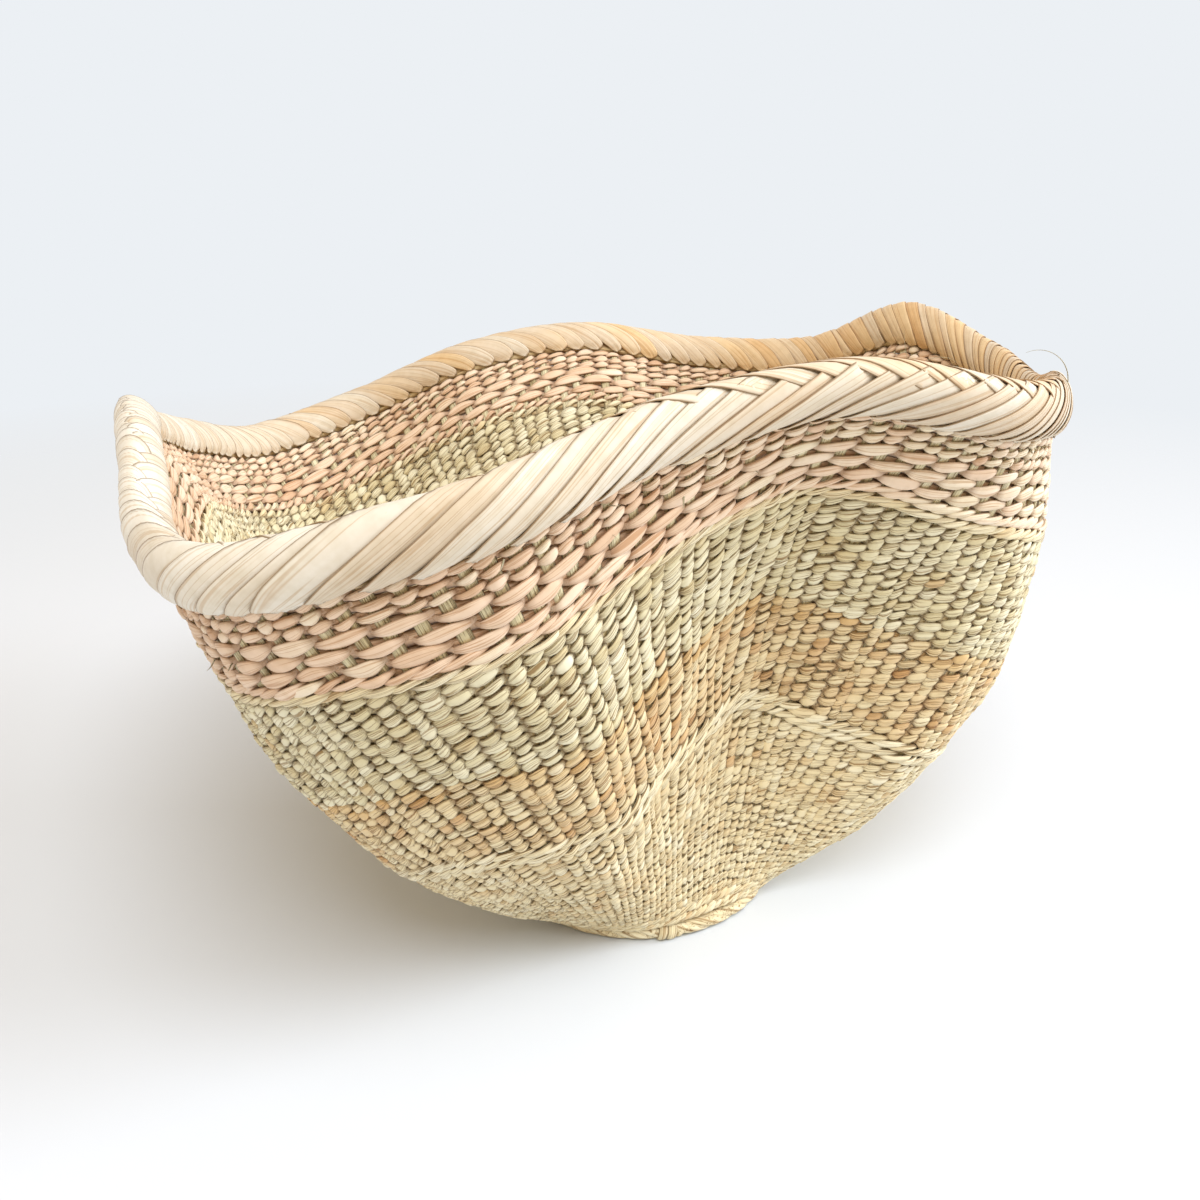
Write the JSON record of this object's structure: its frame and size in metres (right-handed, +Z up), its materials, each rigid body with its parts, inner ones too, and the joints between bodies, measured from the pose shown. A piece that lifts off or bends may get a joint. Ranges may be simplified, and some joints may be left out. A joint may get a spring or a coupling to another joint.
{
  "type": "palm leaf basket",
  "caption": "Open round basket twined from palm leaf, with a wavy flared rim bound in wide strips, a pink upper band and a small round foot.",
  "frame": {"origin": "middle of the bounding box, at the level of the surface that the foot stands on", "axes": "+Z up out of the basket's mouth, +Y away from the viewer of the picture, +X to their right"},
  "size_m": [0.381, 0.3884, 0.2391],
  "materials": {
    "natural_leaf": "dry satin palm fibre, straw coloured",
    "pale_green_leaf": "dry satin palm fibre, pale yellow green",
    "tan_leaf": "dry satin palm fibre, warm tan",
    "pink_leaf": "dry satin palm fibre, dusty pink brown",
    "rim_leaf": "smooth satin split leaf, warm cream"
  },
  "bodies": {
    "root": {"base": "natural_leaf", "foot_rope": "natural_leaf", "bottom_weave": "natural_leaf", "lower_weave": "natural_leaf", "lower_rope_1": "natural_leaf", "lower_rope_2": "natural_leaf", "middle_weave": "natural_leaf", "tan_weave": "tan_leaf", "upper_weave": "pale_green_leaf", "cream_rope": "natural_leaf", "pink_rope": "pink_leaf", "twill_row_1": "pink_leaf", "twill_row_2": "pink_leaf", "twill_row_3": "pink_leaf", "plain_row_1": "pink_leaf", "plain_row_2": "pink_leaf", "plain_row_3": "pink_leaf", "rim_core": "natural_leaf", "rim_outer_plait": "rim_leaf", "rim_inner_plait": "rim_leaf"}
  },
  "joints": []
}
